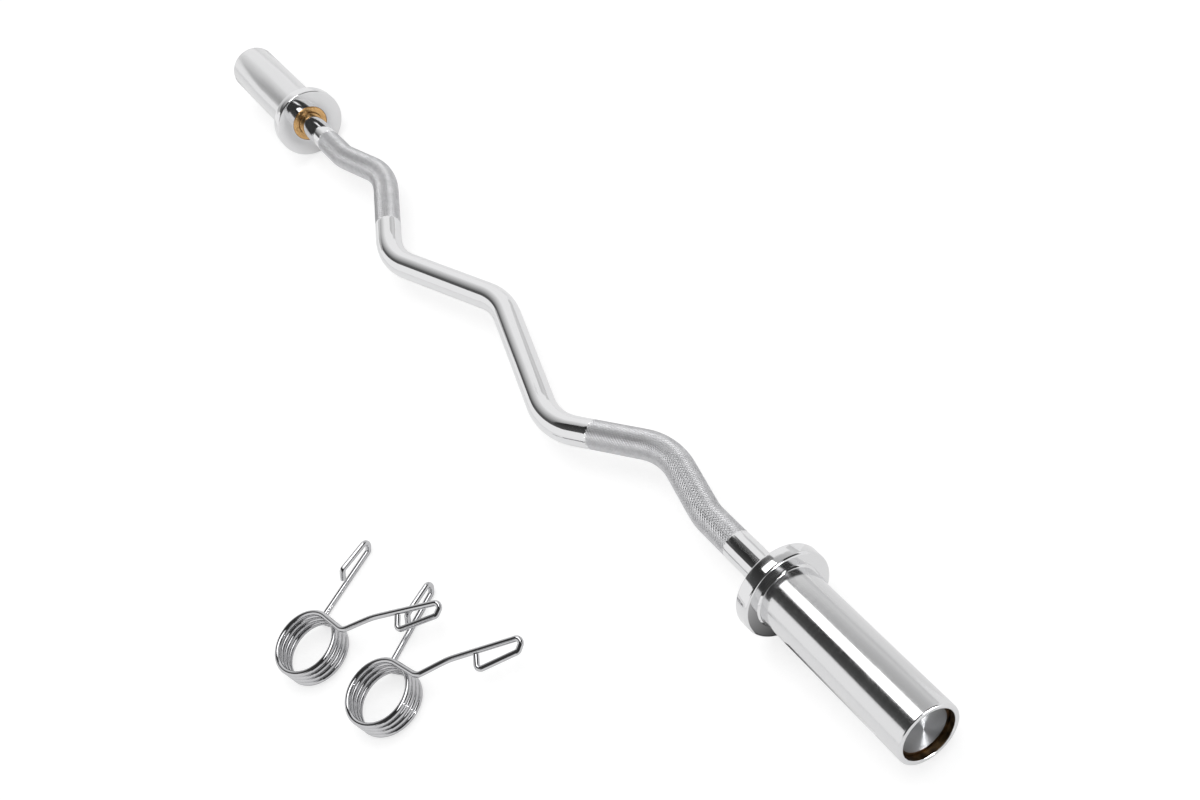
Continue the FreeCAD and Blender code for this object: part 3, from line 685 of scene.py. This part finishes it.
rail_end = tip - Vector((UPPER_LOOP_LENGTH + UPPER_LEG_SLANT, UPPER_LOOP_OUT, UPPER_LOOP_DROP))
leg = tip.lerp(sway, UPPER_LOOP_LENGTH / (tip.x - sway.x)) - rail_end
leg_end = rail_end + leg - leg.normalized() * (WIRE_RADIUS + WIRE_END_GAP)
upper = bend_wire(
    "collar_upper_handle", [coil_end, knee, sway, tip, rail_start, rail_end, leg_end],
    [KNEE_BEND, SWAY_BEND, LOOP_BEND, LOOP_BEND, LOOP_BEND])

# the lower handle lies on the floor, to one side of the coil, and ends in a loop that stands up
HANDLE_ANGLE = math.radians(53)
LOWER_REACH = 72
LOWER_LOOP_LENGTH = 37
LOWER_LOOP_SLANT = 8
LOWER_LEG_SLANT = 10
LOWER_TIP_RISE = 8.5
LOWER_LOOP_RISE = 12.6
HEEL_BEND = 5
coil_start = coil_place(0) - coil_way(0) * STUB
heel = coil_place(0) - coil_way(0) * LOWER_RUN
ahead = Vector((math.cos(HANDLE_ANGLE), math.sin(HANDLE_ANGLE), 0))
lift = Vector((0, 0, 1))
rod_end = heel + ahead * LOWER_REACH
rail_start = rod_end + ahead * LOWER_LOOP_SLANT + lift * LOWER_TIP_RISE
leg_foot = rod_end - ahead * LOWER_LOOP_LENGTH
rail_end = leg_foot + ahead * LOWER_LEG_SLANT + lift * LOWER_LOOP_RISE
leg_end = rail_end.lerp(leg_foot, 1 - (2 * WIRE_RADIUS + WIRE_END_GAP) / LOWER_LOOP_RISE)
lower = bend_wire(
    "collar_lower_handle", [coil_start, heel, rod_end, rail_start, rail_end, leg_end],
    [HEEL_BEND, LOOP_BEND, LOOP_BEND, LOOP_BEND])

# Bright plated spring wire: drawn through dies and plated, so it shines, with faint clouds in the plate.
plated, tree = new_finish("bright_plated_spring_wire")
coords = add_node(tree, "ShaderNodeTexCoord", {})
clouds = add_node(tree, "ShaderNodeTexNoise", {
    "Vector": coords.outputs["Object"], "Scale": 1 / (2.5 * MM), "Detail": 4, "Roughness": 0.6})
shine = add_node(tree, "ShaderNodeMapRange", {
    "Value": clouds.outputs["Fac"], "From Min": 0.3, "From Max": 0.7, "To Min": 0.04, "To Max": 0.1})
metal = add_node(tree, "ShaderNodeBsdfPrincipled", {
    "Base Color": linear("#C6C6C8"), "Metallic": 1, "Roughness": shine.outputs["Result"]})
add_node(tree, "ShaderNodeOutputMaterial", {"Surface": metal.outputs["BSDF"]})

# two copies of the collar, turned and laid on the floor, each handle riding a body of its own and the coil
# left where it lies
for side, place, turn in (("left", (137, -309, 0), 56.5), ("right", (233, -282, 0), 62)):
    laid = {}
    for source in (coil, upper, lower):
        take_up(source)
        bpy.ops.object.duplicate()
        copy = bpy.context.object
        copy.name = side + "_" + source.name
        copy.data.name = copy.name
        copy.location = Vector(place) * MM
        copy.rotation_euler = (0, 0, math.radians(turn))
        bpy.ops.object.transform_apply(location=True, rotation=True, scale=True)
        copy.data.materials.append(plated)
        laid[source.name] = copy
    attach(laid["collar_lower_handle"], side + "_collar")
    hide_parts(side + "_collar_lower_arm")
    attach(laid["collar_upper_handle"], side + "_collar_arm")
    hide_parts(side + "_collar_upper_arm")
    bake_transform(laid["collar_spring"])
    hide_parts(side + "_collar_coil")
put_down()
for source in (coil, upper, lower):
    source.select_set(True)
bpy.ops.object.delete()


# The studio: a white floor under soft light, with cards round the bar that only reflections see. A white
# strip and black flags make the bright and dark lines along each tube, grey cards dull its sides, the dark
# room behind the camera shows in the rims and wires, and a small lamp by the right cap lights its fans.


def ray_kinds(tree):
    """Outputs that tell a ray from the camera and a ray from a mirror or from glass."""
    seen = add_node(tree, "ShaderNodeLightPath", {})
    mirrored = add_node(tree, "ShaderNodeMath", {
        0: seen.outputs["Is Glossy Ray"], 1: seen.outputs["Is Transmission Ray"]}, operation="MAXIMUM")
    return seen.outputs["Is Camera Ray"], mirrored.outputs["Value"]


put_down()
bpy.ops.mesh.primitive_plane_add(size=30, location=(0, 0, 0))
floor = bpy.context.object
floor.name = "studio_floor"

# White studio paper: it glows a little by itself where it is seen, so that it stays white up to the bar.
SEEN_FILL = 0.62
MIRRORED_FILL = 0.1
paper, tree = new_finish("white_studio_paper")
from_camera, from_mirror = ray_kinds(tree)
mirrored_fill = add_node(tree, "ShaderNodeMath", {0: from_mirror, 1: MIRRORED_FILL}, operation="MULTIPLY")
fill = add_node(tree, "ShaderNodeMath", {
    0: from_camera, 1: SEEN_FILL, 2: mirrored_fill.outputs["Value"]}, operation="MULTIPLY_ADD")
shade = add_node(tree, "ShaderNodeMix", {
    "Factor": from_camera, "A": linear("#EDEDED"), "B": linear("#B8B8B8")}, data_type="RGBA")
sheet = add_node(tree, "ShaderNodeBsdfDiffuse", {"Color": shade.outputs["Result"]})
glow = add_node(tree, "ShaderNodeEmission", {"Color": linear("#FFFFFF"), "Strength": fill.outputs["Value"]})
lit = add_node(tree, "ShaderNodeAddShader", {0: sheet.outputs["BSDF"], 1: glow.outputs["Emission"]})
add_node(tree, "ShaderNodeOutputMaterial", {"Surface": lit.outputs["Shader"]})
floor.data.materials.append(paper)

world = bpy.data.worlds.new("white_studio")
bpy.context.scene.world = world
world.use_nodes = True
tree = world.node_tree
tree.nodes.clear()
from_camera, from_mirror = ray_kinds(tree)
in_view = add_node(tree, "ShaderNodeMath", {0: from_camera, 1: from_mirror}, operation="MAXIMUM")
level = add_node(tree, "ShaderNodeMapRange", {"Value": in_view.outputs["Value"], "To Min": 0.7, "To Max": 1})
sky = add_node(tree, "ShaderNodeBackground", {
    "Color": linear("#FFFFFF"), "Strength": level.outputs["Result"]})
add_node(tree, "ShaderNodeOutputWorld", {"Surface": sky.outputs["Background"]})

bpy.ops.object.light_add(type="AREA", location=(0.3, 0.5, 2.4))
lamp = bpy.context.object
lamp.name = "overhead_softbox"
lamp.data.shape = "RECTANGLE"
lamp.data.size = 2.4
lamp.data.size_y = 1.8
lamp.data.energy = 22
lamp.visible_glossy = False

CARD_HEIGHT = 1.64


def hang_card(name, corners, level, fade=None):
    """A card that only reflections see. A fade gives its axis, its start, its end and the last level."""
    put_down()
    bpy.ops.mesh.primitive_circle_add(vertices=len(corners), fill_type="NGON")
    card = bpy.context.object
    card.name = name
    for vertex, place in zip(card.data.vertices, corners):
        vertex.co = place
    paint, tree = new_finish(name + "_paint")
    if fade:
        axis, start, stop, last_level = fade
        coords = add_node(tree, "ShaderNodeTexCoord", {})
        spread = add_node(tree, "ShaderNodeSeparateXYZ", {"Vector": coords.outputs["Object"]})
        ramp = add_node(tree, "ShaderNodeMapRange", {
            "Value": spread.outputs[axis], "From Min": start, "From Max": stop,
            "To Min": level, "To Max": last_level})
        level = ramp.outputs["Result"]
    glow = add_node(tree, "ShaderNodeEmission", {"Color": linear("#FFFFFF"), "Strength": level})
    add_node(tree, "ShaderNodeOutputMaterial", {"Surface": glow.outputs["Emission"]})
    card.data.materials.append(paint)
    card.visible_camera = False
    card.visible_diffuse = False
    card.visible_shadow = False


def overhead(*corners, below=0):
    """Corners of a card that hangs level over the bar, or a little below the others."""
    return [(along, aside, CARD_HEIGHT - below) for along, aside in corners]


def on_floor(*corners):
    """Corners of a card that lies on the floor."""
    return [(along, aside, 1 * MM) for along, aside in corners]


def upright(start, end, foot, top=CARD_HEIGHT):
    """Corners of a card that stands between two places."""
    return [(*start, foot), (*end, foot), (*end, top), (*start, top)]


# the bright and dark lines along the tops of the tubes
hang_card("white_strip", overhead(
    (-0.694, -0.1), (1.2, -0.1), (1.2, 0.8), (-0.83, 0.8), (-0.751, 0.52), (-0.699, 0.2)), level=3)
hang_card("black_flag", overhead((-1.2, -1.65), (1.2, -1.6), (1.2, -0.1), (-1.2, -0.1)),
          level=0.03, fade=("Y", -0.3, -1.6, 0.09))
hang_card("black_patch", overhead(
    (-1.2, -0.1), (-0.694, -0.1), (-0.699, 0.2), (-0.751, 0.52), (-0.83, 0.8), (-0.93, 1.05), (-1.3, 1.05)),
    level=0.03, fade=("Y", 0, 1, 0.2))

# the grey sides of the tubes
hang_card("grey_side", overhead((-0.84, 0.8), (1.2, 0.8), (1.2, 6), (-4, 6), (-1.6, 2.4)),
          level=0.5, fade=("Y", 0.9, 6, 0.76))
hang_card("soft_flag", overhead(
    (-3.92, -1.75), (-1.2, -1.65), (-1.2, 0.75), (-3.13, 0.75), (-3.07, -0.1), (-3.47, -0.92)),
    level=0.1, fade=("Y", -1, 0.7, 0.97))
hang_card("far_grey", overhead(
    (-6, -3), (-5.2, -2.4), (-3.92, -1.75), (-3.47, -0.92), (-3.07, -0.1), (-3.12, 0.6), (-6, 0.6)),
    level=0.52, fade=("Y", -1.3, 0.6, 0.95))

# the dark room behind the camera, with one strip of light, and the lamp by the cap
hang_card("dark_ceiling", overhead((1.2, -3), (4, -3), (4, 8), (1.2, 8)), level=0.05)
hang_card("dark_wall", upright((4, -3), (4, 8), foot=0.2), level=0.05)
hang_card("ceiling_strip", overhead((1.9, 0.95), (4, 0.95), (4, 1.6), (1.9, 1.6), below=0.02), level=1.5)
hang_card("cap_lamp", upright((0.7273, 0.0407), (0.7047, 0.0853), foot=0.027, top=0.071), level=40)

# a black card on the floor under the right flange, fading away from it, a painted shadow that the flange and
# sleeve show in their reflections; and the floor and the wall that the near sleeve shows along its sides
hang_card("floor_flag", on_floor((0.4445, -0.05), (0.55, -0.05), (0.55, 0.015), (0.4445, 0.015)),
          level=0.01, fade=("X", 0.446, 0.55, 0.95))
hang_card("side_floor", on_floor(
    (0.41, 0.03), (0.58, 0.03), (0.46, 0.26), (0.34, 0.49), (-0.25, 1.6), (-2.7, 6), (-3.6, 6), (-0.5, 1.6),
    (0.13, 0.49), (0.27, 0.26)), level=0.86, fade=("Y", 0.2, 1.6, 0.66))
hang_card("side_wall", upright((-4.8, 6), (-1.5, 6), foot=0), level=0.66, fade=("Z", 0, CARD_HEIGHT, 0.76))


# The camera: high over the right end, rolled so that the bar runs from the upper left to the lower right.
# Its place, turn and lens come from a fit to the outline of the bar.
put_down()
bpy.ops.object.camera_add()
camera = bpy.context.object
camera.name = "photo_camera"
right = Vector((0.5061, 0.7340, -0.4529))
down = Vector((0.4961, -0.6773, -0.5433))
forward = Vector((-0.7055, 0.0503, -0.7069))
axes = Matrix((right, -down, -forward)).transposed()
camera_place = Vector((1.13147, -0.06269, 0.99521))
camera.matrix_world = Matrix.Translation(camera_place) @ axes.to_4x4()
camera.data.sensor_width = 36
camera.data.lens = 49.9
camera.data.clip_end = 100
bpy.context.scene.camera = camera
bpy.context.scene.view_settings.view_transform = "Standard"
